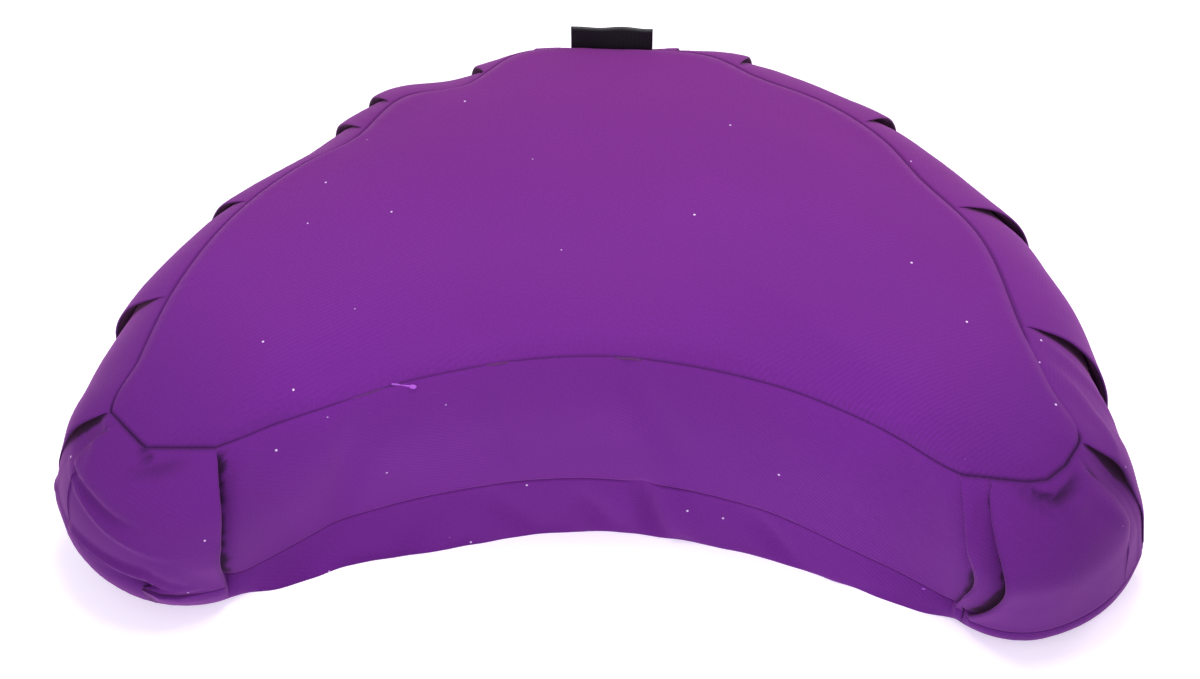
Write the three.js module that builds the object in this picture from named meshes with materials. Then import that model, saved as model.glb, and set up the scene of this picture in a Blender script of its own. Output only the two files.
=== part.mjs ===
// A crescent meditation cushion, filled firm: a crowned crescent top panel, a matching
// underside, a band pleated round the back and plain across the hollow front, and a folded
// label in the back seam. Millimetres, +Z up, resting on z = 0, hollow front towards -Y.
import * as THREE from "three";

// The rim: seen from above, the top seam follows four tangent arcs.
const backRadius = 185; // round the back
const backCentreY = -13;
const tipRadius = 16; // each blunt tip
const hollowRadius = 370; // across the hollow front
const hollowTopY = -10; // its furthest point back
const panelCentre = { x: 0, y: 80 }; // every part of the rim is in plain sight of this point

// The crown of the top panel, and how its cloth turns down into the seam.
const crownHeight = 120;
const crownFall = { side: 15, front: 4 }; // how far it drops by the ends, front and back
const crownHalf = { x: 180, y: 90 }; // how far out those drops are reached
const rimGrip = 5; // higher keeps the pull of the seam nearer the rim
const shoulderHeight = 3.5; // the cloth's roll beside the top seam
const shoulderWidth = 0.07; // as a share of the way from the rim to the panel's centre
const seamDip = 1.6; // how far a seam lies below the cloth beside it
const bandFullness = 0.75; // below 1 the band swells most above its middle
const underRoll = 2; // how far the underside's edge swells between lower seam and floor

// The rim's sections. at is the distance along the rim from the middle of the back, positive
// to the right. seamOut and seamZ place the top seam outside the rim and above the floor,
// lowOut and lowZ the lower seam, footOut the edge of what rests on the floor, and bulge is
// how far the band swells beyond a straight line between its seams.
const sections = [
  { at: -508, seamOut: 0, seamZ: 105, lowOut: 1, lowZ: 32, bulge: 5, footOut: 3 },
  { at: -440, seamOut: 2, seamZ: 99, lowOut: 2, lowZ: 27, bulge: 5, footOut: 10 },
  { at: -398, seamOut: 2, seamZ: 90, lowOut: 3, lowZ: 20, bulge: 6, footOut: 11 },
  { at: -365, seamOut: 0, seamZ: 83, lowOut: 8, lowZ: 13, bulge: 8, footOut: 17 },
  { at: -342, seamOut: -1, seamZ: 82, lowOut: 13, lowZ: 10, bulge: 11, footOut: 9 },
  { at: -325, seamOut: 3, seamZ: 85, lowOut: 24, lowZ: 12, bulge: 15, footOut: 7 },
  { at: -308, seamOut: 11, seamZ: 88, lowOut: 39, lowZ: 15, bulge: 11, footOut: 18 },
  { at: -285, seamOut: 4, seamZ: 92, lowOut: 30, lowZ: 16, bulge: 17, footOut: 12 },
  { at: -250, seamOut: 0, seamZ: 96, lowOut: 18, lowZ: 20, bulge: 19, footOut: 0 },
  { at: -200, seamOut: -4, seamZ: 101, lowOut: 15, lowZ: 25, bulge: 18, footOut: -3 },
  { at: -160, seamOut: -7, seamZ: 103, lowOut: 13, lowZ: 28, bulge: 15, footOut: -5 },
  { at: -130, seamOut: -11, seamZ: 105, lowOut: 12, lowZ: 29, bulge: 21, footOut: -6 },
  { at: -98, seamOut: 1, seamZ: 106, lowOut: 13, lowZ: 30, bulge: 23, footOut: -6 },
  { at: -70, seamOut: -4, seamZ: 107, lowOut: 13, lowZ: 31, bulge: 24, footOut: -6 },
  { at: -40, seamOut: 12, seamZ: 108, lowOut: 14, lowZ: 31, bulge: 13, footOut: -6 },
  { at: 0, seamOut: 10, seamZ: 109, lowOut: 14, lowZ: 31, bulge: 11, footOut: -6 },
  { at: 40, seamOut: 13, seamZ: 108, lowOut: 14, lowZ: 31, bulge: 22, footOut: -6 },
  { at: 65, seamOut: 6, seamZ: 107, lowOut: 14, lowZ: 31, bulge: 30, footOut: -6 },
  { at: 98, seamOut: 5, seamZ: 106, lowOut: 14, lowZ: 30, bulge: 24, footOut: -6 },
  { at: 130, seamOut: 1, seamZ: 105, lowOut: 14, lowZ: 29, bulge: 25, footOut: -6 },
  { at: 160, seamOut: -5, seamZ: 103, lowOut: 15, lowZ: 28, bulge: 26, footOut: -5 },
  { at: 200, seamOut: -4, seamZ: 101, lowOut: 18, lowZ: 25, bulge: 25, footOut: -3 },
  { at: 250, seamOut: -3, seamZ: 96, lowOut: 22, lowZ: 20, bulge: 21, footOut: 0 },
  { at: 285, seamOut: 2, seamZ: 92, lowOut: 32, lowZ: 16, bulge: 18, footOut: 14 },
  { at: 308, seamOut: 11, seamZ: 88, lowOut: 43, lowZ: 16, bulge: 11, footOut: 24 },
  { at: 325, seamOut: 3, seamZ: 85, lowOut: 27, lowZ: 13, bulge: 13, footOut: 13 },
  { at: 342, seamOut: 2, seamZ: 81, lowOut: 14, lowZ: 10, bulge: 12, footOut: 10 },
  { at: 365, seamOut: 2, seamZ: 81, lowOut: 10, lowZ: 13, bulge: 7, footOut: 14 },
  { at: 398, seamOut: -1, seamZ: 88, lowOut: 9, lowZ: 20, bulge: 5, footOut: 12 },
  { at: 440, seamOut: -2, seamZ: 97, lowOut: 4, lowZ: 27, bulge: 5, footOut: 7 },
];

// The folds of the band, each an edge of cloth lying over the cloth beside it. at is where
// the fold leaves the top seam, faces is +1 where its edge looks away from the middle of the
// back, lift is how far the edge stands off, width is the cloth it raises behind it, slant
// is how far the edge leans away from the back by the lower seam, and crest is how far down
// it stands highest (0 top seam, 1 lower seam).
const folds = [
  { at: -354, faces: 1, lift: 6, width: 34, slant: -14, crest: 0.5 },
  { at: -314, faces: -1, lift: 6, width: 30, slant: 8, crest: 0.4 },
  { at: -309, faces: 1, lift: 7, width: 46, slant: -14, crest: 0.4 },
  { at: -251, faces: 1, lift: 7, width: 46, slant: -4, crest: 0.35 },
  { at: -190, faces: 1, lift: 6, width: 46, slant: -4, crest: 0.3 },
  { at: -123, faces: 1, lift: 5, width: 18, slant: -6, crest: 0.25 },
  { at: -104, faces: 1, lift: 6, width: 42, slant: -4, crest: 0.15 },
  { at: -59, faces: 1, lift: 7, width: 24, slant: 0, crest: 0.15 },
  { at: -34, faces: 1, lift: 5, width: 20, slant: 0, crest: 0.15 },
  { at: 26, faces: 1, lift: 5, width: 20, slant: 0, crest: 0.15 },
  { at: 54, faces: 1, lift: 6, width: 24, slant: -4, crest: 0.15 },
  { at: 117, faces: 1, lift: 6, width: 46, slant: 0, crest: 0.3 },
  { at: 180, faces: 1, lift: 7, width: 50, slant: 22, crest: 0.35 },
  { at: 252, faces: 1, lift: 7, width: 50, slant: 18, crest: 0.4 },
  { at: 310, faces: 1, lift: 6, width: 42, slant: -8, crest: 0.5 },
  { at: 319, faces: -1, lift: 6, width: 22, slant: 2, crest: 0.4 },
  { at: 347, faces: 1, lift: 8, width: 26, slant: -14, crest: 0.5 },
  { at: 356, faces: 1, lift: 3, width: 8, slant: -15, crest: 0.6 },
];
const foldUnder = 0.45; // how deep the cloth lies tucked under an edge, as a share of its lift
const foldUnderWidth = 12;
const foldTail = 0.45; // what is left of a fold's lift at the lower seam
const foldStep = 1.4; // width of the step at a fold's edge

// The soft troughs of the front band: deep at most at middle, a share of the way down, with
// at and slant as a fold has them.
const troughs = [
  { at: -415, deep: 4, width: 9, slant: -9, middle: 0.5 },
  { at: -468, deep: 2.5, width: 6, slant: 7, middle: 0.4 },
  { at: 497, deep: 2.5, width: 7, slant: -22, middle: 0.35 },
];
const troughReach = 0.4; // how far up and down a trough fades, as a share of the band

// Mesh density.
const columnSpacing = 6.5;
const panelRings = [1, 0.975, 0.94, 0.88, 0.79, 0.66, 0.5, 0.32, 0.15];
const bandRows = [0, 0.07, 0.16, 0.27, 0.4, 0.54, 0.68, 0.82, 0.93, 1];
const underRows = [0.22, 0.48, 0.74, 1];
const soleRings = [0.8, 0.5, 0.2];

// The label: a woven tape folded in half and caught in the back seam.
const labelWidth = 37;
const labelHeight = 10.5;
const labelThick = 1.4;
const labelLean = THREE.MathUtils.degToRad(3); // back from upright
const labelOffset = { at: -1.5, out: 11.5, gap: 0.5 };

const clothColour = 0x7d3195;
const labelColour = 0x10140f;

const smooth = THREE.MathUtils.smoothstep;
const lerp = THREE.MathUtils.lerp;

// The rim's arcs meet where their tangents agree, so each tip's centre is found from the
// distances to the centres of the back and of the hollow.
const hollowCentreY = hollowTopY - hollowRadius;
const toBack = backRadius - tipRadius;
const toHollow = hollowRadius + tipRadius;
const tipY =
  (toHollow ** 2 - toBack ** 2 - hollowCentreY ** 2 + backCentreY ** 2) /
  (2 * (backCentreY - hollowCentreY));
const tipX = Math.sqrt(toBack ** 2 - (tipY - backCentreY) ** 2);
const tipStart = Math.atan2(tipY - backCentreY, tipX);
const tipEnd = Math.atan2(hollowCentreY - tipY, -tipX);
const hollowStart = tipEnd + Math.PI;
const backLength = backRadius * (Math.PI / 2 - tipStart);
const tipLength = tipRadius * (tipStart - tipEnd);
const hollowLength = hollowRadius * (Math.PI / 2 - hollowStart);
const halfRim = backLength + tipLength + hollowLength;

// A point of the top seam seen from above, and its direction outwards.
function rimPoint(at) {
  const side = at < 0 ? -1 : 1;
  const run = Math.abs(at);
  let angle, radius, centre, outward;
  if (run < backLength) {
    angle = Math.PI / 2 - run / backRadius;
    [radius, centre, outward] = [backRadius, { x: 0, y: backCentreY }, 1];
  } else if (run < backLength + tipLength) {
    angle = tipStart - (run - backLength) / tipRadius;
    [radius, centre, outward] = [tipRadius, { x: tipX, y: tipY }, 1];
  } else {
    angle = hollowStart + (run - backLength - tipLength) / hollowRadius;
    [radius, centre, outward] = [hollowRadius, { x: 0, y: hollowCentreY }, -1];
  }
  const direction = new THREE.Vector2(Math.cos(angle), Math.sin(angle));
  return {
    x: side * (centre.x + radius * direction.x),
    y: centre.y + radius * direction.y,
    outX: side * outward * direction.x,
    outY: outward * direction.y,
  };
}

// One column of the sections table at any place on the rim, eased from row to row.
function sectionValue(at, column) {
  const rim = 2 * halfRim;
  const place = ((((at - sections[0].at) % rim) + rim) % rim) + sections[0].at;
  let i = sections.length - 1;
  while (sections[i].at > place) i--;
  const row = (k) => {
    const turns = Math.floor(k / sections.length);
    const found = sections[k - turns * sections.length];
    return { at: found.at + turns * rim, value: found[column] };
  };
  const [before, from, to, after] = [row(i - 1), row(i), row(i + 1), row(i + 2)];
  const span = to.at - from.at;
  const share = (place - from.at) / span;
  const slopeFrom = ((to.value - before.value) / (to.at - before.at)) * span;
  const slopeTo = ((after.value - from.value) / (after.at - from.at)) * span;
  const [s2, s3] = [share ** 2, share ** 3];
  return (
    (2 * s3 - 3 * s2 + 1) * from.value +
    (s3 - 2 * s2 + share) * slopeFrom +
    (3 * s2 - 2 * s3) * to.value +
    (s3 - s2) * slopeTo
  );
}

// How far a place on the rim lies behind a fold's edge, on the cloth that the fold raises;
// below zero it is on the cloth under the edge.
function behindEdge(fold, at) {
  const away = Math.sign(fold.at) * fold.faces;
  return (fold.at - at) * away;
}

// How high a fold stands at a height on the band.
function foldRise(fold, down) {
  const rising = smooth(down, 0, fold.crest);
  const falling = lerp(1, foldTail, smooth(down, fold.crest, 1));
  return fold.lift * Math.sqrt(rising) * falling;
}

// What all the folds add to the band at a place and height.
function foldRelief(at, down) {
  let relief = 0;
  for (const fold of folds) {
    const behind = behindEdge(fold, at);
    const rise = foldRise(fold, down);
    if (behind >= 0 && behind < fold.width)
      relief += rise * (1 - (behind / fold.width) ** 1.5) ** 1.5;
    else if (behind < 0 && -behind < foldUnderWidth)
      relief -= rise * foldUnder * (1 + behind / foldUnderWidth) ** 2;
  }
  for (const trough of troughs) {
    const line = trough.at + Math.sign(trough.at) * trough.slant * down;
    const across = (at - line) / trough.width;
    const along = (down - trough.middle) / troughReach;
    relief -= trough.deep * Math.exp(-across * across - along * along);
  }
  return relief;
}

// The columns run from fold to fold, closest beside each edge. Each has its place on the top
// seam and the slant that it takes from the folds on either side.
function makeColumns() {
  const columns = [];
  folds.forEach((fold, i) => {
    const next = folds[(i + 1) % folds.length];
    const end = next.at + (i + 1 < folds.length ? 0 : 2 * halfRim);
    const from = fold.at + foldStep / 2;
    const span = end - foldStep / 2 - from;
    const steps = Math.max(3, Math.round(span / columnSpacing));
    for (let k = 0; k <= steps; k++) {
      const share = k / steps;
      const eased = lerp(share, smooth(share, 0, 1), 0.55);
      const slantOf = (f) => Math.sign(f.at) * f.slant;
      columns.push({
        at: from + span * eased,
        slant: lerp(slantOf(fold), slantOf(next), eased),
      });
    }
  });
  return columns;
}

// A place wrapped into the table's range.
function wrapped(at) {
  return at > halfRim ? at - 2 * halfRim : at;
}

// The height of the crown's smooth dome.
function crownAt(x, y) {
  const side = crownFall.side * (x / crownHalf.x) ** 2;
  return crownHeight - side - crownFall.front * ((y - panelCentre.y) / crownHalf.y) ** 2;
}

// One column of the surface, from the rim of the crown down the band to the sole.
function columnPoints(column) {
  const points = [];
  const top = wrapped(column.at);
  const seam = rimPoint(top);
  const seamOut = sectionValue(top, "seamOut");
  const seamZ = sectionValue(top, "seamZ");
  for (const ring of [...panelRings].reverse()) {
    const outX = seam.x + seam.outX * seamOut;
    const outY = seam.y + seam.outY * seamOut;
    const x = lerp(panelCentre.x, outX, ring);
    const y = lerp(panelCentre.y, outY, ring);
    const roll = shoulderHeight * Math.sqrt(smooth(1 - ring, 0, shoulderWidth)) * ring ** 4;
    const dip = ring === 1 ? seamDip : 0;
    points.push([x, y, lerp(crownAt(x, y), seamZ, ring ** rimGrip) + roll - dip]);
  }
  const bandPoint = (down, dip) => {
    const at = wrapped(column.at + column.slant * down);
    const rim = rimPoint(at);
    const straight = lerp(seamOut, sectionValue(at, "lowOut"), down);
    const swell = sectionValue(at, "bulge") * Math.sin(Math.PI * down ** bandFullness);
    const out = straight + swell + foldRelief(top, down) - dip;
    return {
      x: rim.x + rim.outX * out,
      y: rim.y + rim.outY * out,
      z: lerp(seamZ, sectionValue(at, "lowZ"), down),
      at,
      rim,
      out,
    };
  };
  for (const down of bandRows.slice(1)) {
    const p = bandPoint(down, down === 1 ? seamDip : 0);
    points.push([p.x, p.y, p.z]);
  }
  const low = bandPoint(1, 0);
  const footOut = sectionValue(low.at, "footOut");
  for (const turn of underRows) {
    const angle = (turn * Math.PI) / 2;
    const roll = underRoll * Math.sin(Math.PI * turn);
    const out = lerp(low.out, footOut, 1 - Math.cos(angle)) + roll;
    points.push([
      low.rim.x + low.rim.outX * out,
      low.rim.y + low.rim.outY * out,
      turn === 1 ? 0 : low.z * (1 - Math.sin(angle)),
    ]);
  }
  const [soleX, soleY] = points[points.length - 1];
  for (const ring of soleRings)
    points.push([
      lerp(panelCentre.x, soleX, ring),
      lerp(panelCentre.y, soleY, ring),
      0,
    ]);
  return points;
}

// The filled cushion: the columns joined all the way round, closed by a point at the middle
// of the crown and another at the middle of the sole.
function cushionGeometry() {
  const columns = makeColumns().map(columnPoints);
  const rows = columns[0].length;
  const positions = columns.flat();
  const crown = positions.length;
  positions.push([panelCentre.x, panelCentre.y, crownHeight]);
  positions.push([panelCentre.x, panelCentre.y, 0]);
  const faces = [];
  columns.forEach((_, i) => {
    const here = i * rows;
    const next = ((i + 1) % columns.length) * rows;
    faces.push([crown, next, here]);
    for (let k = 0; k + 1 < rows; k++) {
      faces.push([here + k, next + k, next + k + 1]);
      faces.push([here + k, next + k + 1, here + k + 1]);
    }
    faces.push([crown + 1, here + rows - 1, next + rows - 1]);
  });
  const geometry = new THREE.BufferGeometry();
  geometry.setAttribute(
    "position",
    new THREE.Float32BufferAttribute(positions.flat(), 3),
  );
  geometry.setIndex(faces.flat());
  geometry.computeVertexNormals();
  return geometry;
}

// The label stands in the back seam, its folded edge up.
function labelGeometry() {
  const outline = new THREE.Shape();
  const fold = labelThick / 2;
  outline.moveTo(-fold, 0);
  outline.lineTo(fold, 0);
  outline.lineTo(fold, labelHeight - fold);
  outline.absarc(0, labelHeight - fold, fold, 0, Math.PI, false);
  outline.closePath();
  const geometry = new THREE.ExtrudeGeometry(outline, {
    depth: labelWidth,
    bevelEnabled: false,
    curveSegments: 4,
  });
  return geometry.translate(0, 0, -labelWidth / 2);
}

const cloth = new THREE.MeshStandardMaterial({
  color: clothColour,
  roughness: 0.85,
  metalness: 0,
});
const tape = new THREE.MeshStandardMaterial({
  color: labelColour,
  roughness: 0.5,
  metalness: 0,
});

const part = new THREE.Group();

const cushion = new THREE.Mesh(cushionGeometry(), cloth);
cushion.name = "cushion";
part.add(cushion);

const label = new THREE.Mesh(labelGeometry(), tape);
label.name = "label";
const labelFoot = rimPoint(labelOffset.at);
label.position.set(
  labelFoot.x,
  labelFoot.y + labelOffset.out,
  sectionValue(labelOffset.at, "seamZ") + labelOffset.gap,
);
label.rotation.set(Math.PI / 2 - labelLean, Math.PI / 2, 0, "XYZ");
part.add(label);

// The origin is on the floor, under the middle of the whole part's box.
const reach = new THREE.Box3().setFromObject(part);
const middle = reach.getCenter(new THREE.Vector3());
for (const mesh of part.children) {
  mesh.position.x -= middle.x;
  mesh.position.y -= middle.y;
  mesh.position.z -= reach.min.z;
}

export default part;
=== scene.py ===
import math

import bmesh
import bpy
import numpy as np
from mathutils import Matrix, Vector, noise


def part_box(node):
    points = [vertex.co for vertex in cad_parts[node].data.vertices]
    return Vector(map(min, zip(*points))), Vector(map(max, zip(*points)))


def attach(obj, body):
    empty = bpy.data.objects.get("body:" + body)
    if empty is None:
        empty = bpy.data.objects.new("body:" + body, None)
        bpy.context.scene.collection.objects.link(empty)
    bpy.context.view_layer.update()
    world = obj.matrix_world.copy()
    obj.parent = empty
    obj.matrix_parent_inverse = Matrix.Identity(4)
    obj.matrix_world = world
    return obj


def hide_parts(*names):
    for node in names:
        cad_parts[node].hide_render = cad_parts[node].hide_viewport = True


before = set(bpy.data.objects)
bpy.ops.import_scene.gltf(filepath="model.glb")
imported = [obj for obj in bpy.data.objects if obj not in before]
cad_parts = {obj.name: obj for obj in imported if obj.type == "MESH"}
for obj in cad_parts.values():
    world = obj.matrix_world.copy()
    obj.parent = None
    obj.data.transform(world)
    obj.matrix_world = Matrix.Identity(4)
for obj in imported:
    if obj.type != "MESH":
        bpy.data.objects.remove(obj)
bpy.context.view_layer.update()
mm = 0.001


# an sRGB hex colour as the linear values that Blender's sockets want
def linear(hexColour):
    parts = [int(hexColour[i : i + 2], 16) / 255 for i in (1, 3, 5)]
    return [c / 12.92 if c <= 0.04045 else ((c + 0.055) / 1.055) ** 2.4 for c in parts] + [1.0]


# adds a node, with plain settings, and inputs that are values or other nodes' sockets
def addNode(tree, kind, inputs=None, **settings):
    node = tree.nodes.new(kind)
    for name, value in settings.items():
        setattr(node, name, value)
    for name, value in (inputs or {}).items():
        if isinstance(value, bpy.types.NodeSocket):
            tree.links.new(value, node.inputs[name])
        else:
            node.inputs[name].default_value = value
    return node


# the scale of a wave texture whose bands are so many millimetres apart
def waveScale(apart):
    return 0.314 / (apart * mm)


def newMaterial(name):
    material = bpy.data.materials.new(name)
    material.use_nodes = True
    material.node_tree.nodes.clear()
    return material, material.node_tree


def newPiece(name, bm, material):
    mesh = bpy.data.meshes.new(name)
    bm.to_mesh(mesh)
    bm.free()
    mesh.polygons.foreach_set("use_smooth", [True] * len(mesh.polygons))
    mesh.materials.append(material)
    piece = bpy.data.objects.new(name, mesh)
    bpy.context.scene.collection.objects.link(piece)
    return piece


def smooth(x, low, high):
    s = np.clip((x - low) / (high - low), 0, 1)
    return s * s * (3 - 2 * s)


def mix(a, b, share):
    return a + (b - a) * share


# the cover, in millimetres: four tangent arcs give the rim of the top panel seen from above
cover = dict(
    backRadius=185, backCentreY=-13, tipRadius=16, hollowRadius=370, hollowTopY=-10,
    shift=(-1.18, -64.30), centre=(0, 80),
    crownHeight=120, crownSideFall=15, crownFrontFall=4, crownHalfX=180, crownHalfY=90, rimGrip=5,
    shoulder=3, shoulderRun=7, bandFullness=0.75, bandTall=85, bandReach=25, underRoll=2,
    foldUnder=0.6, foldUnderWidth=12, foldTail=0.45, roll=0.9, backRoll=0.4,
    cornerFade=26, cornerReach=14, cornerHold=0.45, filler=2.7,
    seamDeep=1.6, lowSeamDeep=1.1, lowSeamPaintedShade=0.8,
    puckerHigh=0.5, puckerLong=9, puckerSize=5.5, puckerSmall=2.6, panelPucker=0.6,
    lowPucker=1.4, lowPuckerSize=6,
    panelDents=1.2, panelDentSize=70, bandDents=1.2, bandDentSize=26,
    underLumps=1.6, underLumpSize=13,
)

# at (along the rim from the middle of the back), the top seam's place outside the rim and
# its height, the same for the lower seam, the band's bulge, and the foot's edge
sections = np.array([
    (-508, 0, 105, 1, 32, 5, 3),
    (-440, 2, 99, 2, 27, 5, 10),
    (-398, 2, 90, 3, 20, 6, 11),
    (-365, 0, 83, 8, 13, 8, 15),
    (-342, -1, 82, 15, 15, 11, 8),
    (-325, 3, 85, 28, 29, 12, 5),
    (-308, 11, 88, 42, 40, 8, 10),
    (-285, 4, 92, 33, 30, 14, 8),
    (-250, 0, 96, 18, 20, 19, 0),
    (-200, -4, 101, 15, 25, 18, -3),
    (-160, -7, 103, 13, 28, 15, -5),
    (-130, -11, 105, 12, 29, 21, -6),
    (-98, 1, 106, 13, 30, 23, -6),
    (-70, -4, 107, 13, 31, 24, -6),
    (-40, 12, 108, 14, 31, 13, -6),
    (0, 10, 109, 14, 31, 11, -6),
    (40, 13, 108, 14, 31, 22, -6),
    (65, 6, 107, 14, 31, 30, -6),
    (98, 5, 106, 14, 30, 24, -6),
    (130, 1, 105, 14, 29, 25, -6),
    (160, -5, 103, 15, 28, 26, -5),
    (200, -4, 101, 18, 25, 25, -3),
    (250, -7, 96, 22, 20, 23, 0),
    (285, 0, 92, 32, 16, 19, 14),
    (308, 11, 88, 45, 24, 10, 20),
    (325, 3, 85, 27, 13, 13, 13),
    (342, 2, 81, 14, 10, 12, 10),
    (365, 2, 81, 10, 13, 7, 14),
    (398, -1, 88, 9, 20, 5, 12),
    (440, -2, 97, 4, 27, 5, 7),
], float)
sectionColumns = dict(seamOut=1, seamZ=2, lowOut=3, lowZ=4, bulge=5, footOut=6)

# the pleats: faces is +1 where the edge looks away from the middle of the back, and slant and
# bow carry its line along the rim. lift is how far it stands off at crest, tail the share of
# that left at fade, under how deep the cloth before it lies, tuck how far that goes in, opens
# how far down the cloth first doubles back, and gape how wide the shadow before the edge is.
folds = [
    dict(
        at=-354, faces=1, lift=7, width=34, slant=-10, bow=-6,
        crest=0.3, under=1.1, tuck=9, gape=3.4,
    ),
    dict(
        at=-314, faces=-1, lift=4.4, width=16, slant=3, crest=0.27,
        opens=0.2, fade=0.42, tail=0, under=0.9, tuck=5,
    ),
    dict(
        at=-309, faces=1, lift=3.8, width=46, slant=-8, crest=0.2,
        fade=0.6, tail=0.12, under=0.25, tuck=13,
    ),
    dict(
        at=-251, faces=1, lift=4.2, width=46, slant=-4, crest=0.18,
        tail=0.35, under=0.15, tuck=13,
    ),
    dict(
        at=-190, faces=1, lift=3.6, width=46, slant=-4, crest=0.16,
        tail=0.35, under=0.15, tuck=12,
    ),
    dict(at=-123, faces=1, lift=3.2, width=18, slant=-6, crest=0.25, tail=0.4, under=0.2, tuck=9),
    dict(at=-104, faces=1, lift=3.6, width=42, slant=-4, crest=0.15, tail=0.4, under=0.2, tuck=8),
    dict(at=-59, faces=1, lift=4, width=24, slant=0, crest=0.15, under=0.2, tuck=11),
    dict(at=-34, faces=1, lift=3, width=20, slant=0, crest=0.15, under=0.2, tuck=8),
    dict(at=26, faces=1, lift=3, width=20, slant=0, crest=0.15, under=0.2, tuck=8),
    dict(at=54, faces=1, lift=3.6, width=24, slant=-4, crest=0.15, under=0.2, tuck=9),
    dict(at=117, faces=1, lift=4, width=46, slant=0, crest=0.16, tail=0.35, under=0.25, tuck=11),
    dict(at=180, faces=1, lift=4.3, width=50, slant=22, crest=0.14, tail=0.3, under=0.3, tuck=13),
    dict(at=252, faces=1, lift=4.6, width=50, slant=18, crest=0.16, tail=0.3, under=0.3, tuck=13),
    dict(
        at=310, faces=1, lift=4.6, width=42, slant=-4, crest=0.18,
        fade=0.55, tail=0.15, under=0.3, tuck=12,
    ),
    dict(
        at=315, faces=-1, lift=4, width=16, slant=0, crest=0.3,
        opens=0.2, fade=0.7, tail=0, tuck=6,
    ),
    dict(
        at=344, faces=1, lift=5.6, width=26, slant=-2, bow=-7.5,
        crest=0.4, under=0.7, tuck=12, gape=1.8,
    ),
    dict(at=356, faces=1, lift=4, width=9, slant=-8, bow=-11, crest=0.35, tuck=4),
]

# soft hollows of the front band, deepest at middle and over by tall, shares of the way down
troughs = [
    dict(at=-415, deep=4, width=9, slant=-9, middle=0.5, tall=0.4),
    dict(at=-468, deep=2.5, width=6, slant=7, middle=0.4, tall=0.4),
    dict(at=497, deep=2.5, width=7, slant=-22, middle=0.35, tall=0.4),
]

# creases: a line of places on the band (along the rim, and how far down), high or deep, wide,
# and the darkness of the painted shade where the cloth folds in on itself
creases = [
    dict(line=[(-380, 0.04), (-371, 0.11), (-362, 0.18)], high=0.9, wide=3),
    dict(line=[(-310, 0.03), (-317, 0.125), (-320, 0.284)], high=2.2, wide=3),
    dict(line=[(-313, 0.444), (-320, 0.467), (-328, 0.53), (-342, 0.604)], high=1.8, wide=3),
    dict(line=[(-316, 0.36), (-324, 0.42), (-334, 0.43)], high=-1.6, wide=4),
    dict(
        line=[(-311, 0.94), (-322, 0.88), (-334, 0.84), (-341, 0.95), (-345, 1.15)],
        high=3, wide=3.5,
    ),
    dict(line=[(-318, 1.06), (-330, 1.0), (-338, 1.12)], high=-2, wide=4, dark=0.3),
    dict(line=[(-340, 0.7), (-345, 0.95)], high=1.8, wide=2.5),
    dict(line=[(-325, 0.11), (-333, 0.1), (-342, 0.05)], high=-2.4, wide=3.2, dark=0.3),
    dict(line=[(-325, 0), (-328, 0.035), (-330, 0.06)], high=-2.6, wide=2, dark=0.7),
    dict(line=[(257, 0.02), (262, 0.08), (268, 0.193), (280, 0.307)], high=2.2, wide=3),
    dict(line=[(272, 0), (280, 0.06), (295, 0.102), (307, 0.148)], high=2.2, wide=3),
    dict(line=[(319, 0.1), (318, 0.284), (316, 0.49)], high=1.8, wide=3.5),
    dict(line=[(332, 0.05), (326, 0.13), (319, 0.13)], high=1.8, wide=3),
    dict(
        line=[(332, 0.01), (330, 0.05), (325, 0.08), (321, 0.07), (318, 0.05)],
        high=-3, wide=2, dark=0.85,
    ),
    dict(line=[(337, 0), (331, 0.08), (328, 0.13)], high=-2, wide=2.2, dark=0.3),
    dict(line=[(-503, 1.16), (-509, 1.4), (-513, 1.7)], high=-3, wide=4),
    dict(line=[(490, 1.02), (487, 1.34), (484, 1.7)], high=-5, wide=4),
    dict(line=[(478, 1.05), (476, 1.34), (472, 1.7)], high=2, wide=6),
    dict(line=[(443, 1.09), (436, 1.35), (426, 1.71)], high=-3, wide=5),
    dict(line=[(-468, 1.1), (-476, 1.4), (-482, 1.7)], high=-2.5, wide=5),
]

# the top seam runs straight between these corners at both ends, and eases into the rim's
# arcs by the first and last place
corners = [
    [
        dict(at=-375), dict(at=-353, x=-152.9, y=-45.4, z=82),
        dict(at=-326, x=-180.6, y=-48.4, z=84), dict(at=-309, x=-196.7, y=-32.5, z=87),
        dict(at=-288),
    ],
    [
        dict(at=296), dict(at=312, x=193.8, y=-35.8, z=88),
        dict(at=318, x=188.7, y=-43.6, z=85), dict(at=325, x=181.3, y=-49.7, z=83),
        dict(at=331, x=173.5, y=-50.2, z=82), dict(at=355, x=147.9, y=-46.6, z=81),
        dict(at=380),
    ],
]

hollowCentreY = cover["hollowTopY"] - cover["hollowRadius"]
toBack = cover["backRadius"] - cover["tipRadius"]
toHollow = cover["hollowRadius"] + cover["tipRadius"]
tipY = (toHollow**2 - toBack**2 - hollowCentreY**2 + cover["backCentreY"] ** 2) / (
    2 * (cover["backCentreY"] - hollowCentreY)
)
tipX = math.sqrt(toBack**2 - (tipY - cover["backCentreY"]) ** 2)
tipStart = math.atan2(tipY - cover["backCentreY"], tipX)
tipEnd = math.atan2(hollowCentreY - tipY, -tipX)
backLength = cover["backRadius"] * (math.pi / 2 - tipStart)
tipLength = cover["tipRadius"] * (tipStart - tipEnd)
hollowLength = cover["hollowRadius"] * (-math.pi / 2 - tipEnd)
halfRim = backLength + tipLength + hollowLength


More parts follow.
